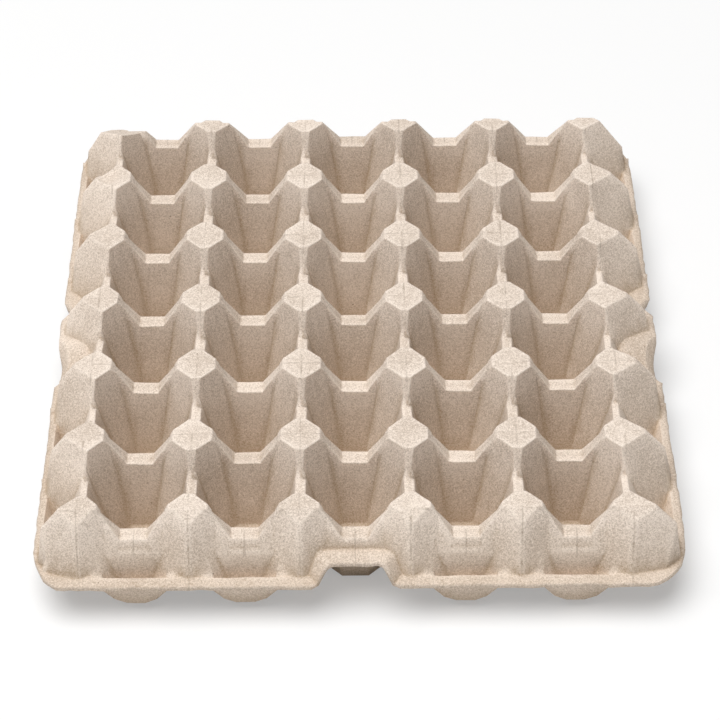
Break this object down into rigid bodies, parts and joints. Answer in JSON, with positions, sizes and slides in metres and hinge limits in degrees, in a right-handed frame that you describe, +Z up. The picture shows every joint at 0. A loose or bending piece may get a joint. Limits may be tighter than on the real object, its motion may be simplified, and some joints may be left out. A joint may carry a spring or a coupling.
{
  "type": "pulp egg tray",
  "caption": "Rectangular moulded pulp tray: rows of open cups between tapered hollow posts, inside a flat rim with raised finger notches on each side",
  "frame": {"origin": "centre of the footprint, on the surface that the cup bottoms stand on", "axes": "+Z up through the open cups, +Y from the front short side to the back one, +X to the right"},
  "size_m": [0.287, 0.3244, 0.05],
  "materials": {
    "pulp": "matte"
  },
  "bodies": {
    "root": {"tray": "pulp"}
  },
  "joints": []
}
